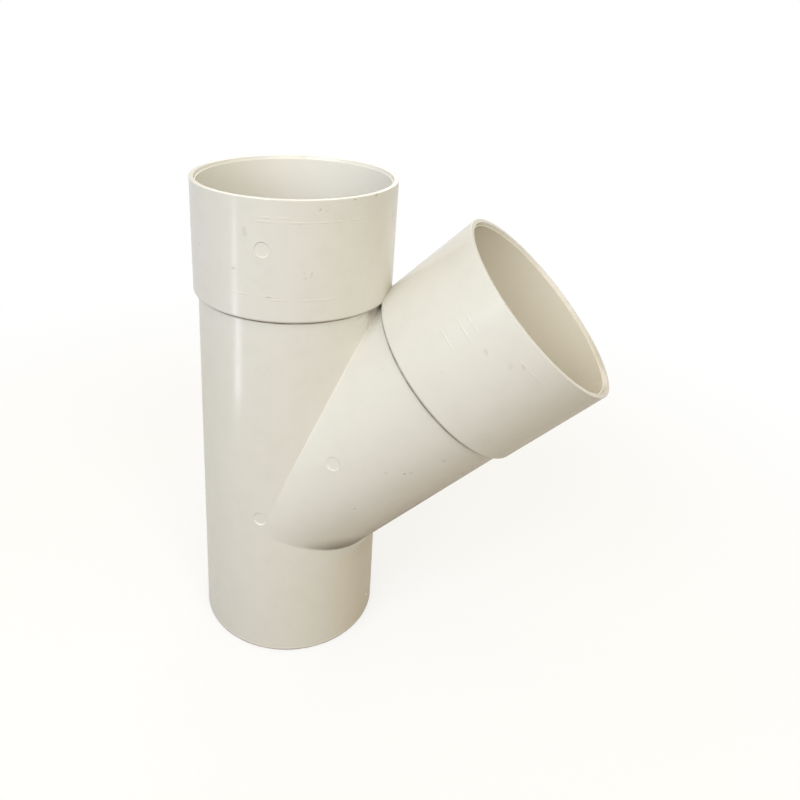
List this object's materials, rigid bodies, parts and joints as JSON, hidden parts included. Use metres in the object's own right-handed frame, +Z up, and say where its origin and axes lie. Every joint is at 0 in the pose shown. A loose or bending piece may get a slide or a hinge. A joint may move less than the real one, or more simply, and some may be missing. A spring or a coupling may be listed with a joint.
{
  "type": "pvc pipe branch",
  "caption": "Drain pipe branch: a straight run with a plain spigot below and a socket above, and a slanted side branch of the same bore that ends in a socket.",
  "frame": {"origin": "centre of the spigot's end face", "axes": "+Z up along the run towards its socket, +X towards the side on which the branch leans out, Y across"},
  "size_m": [0.3531, 0.1706, 0.419],
  "materials": {
    "ivory_pvc": "semi-gloss"
  },
  "bodies": {
    "root": {"branch_fitting": "ivory_pvc"}
  },
  "joints": []
}
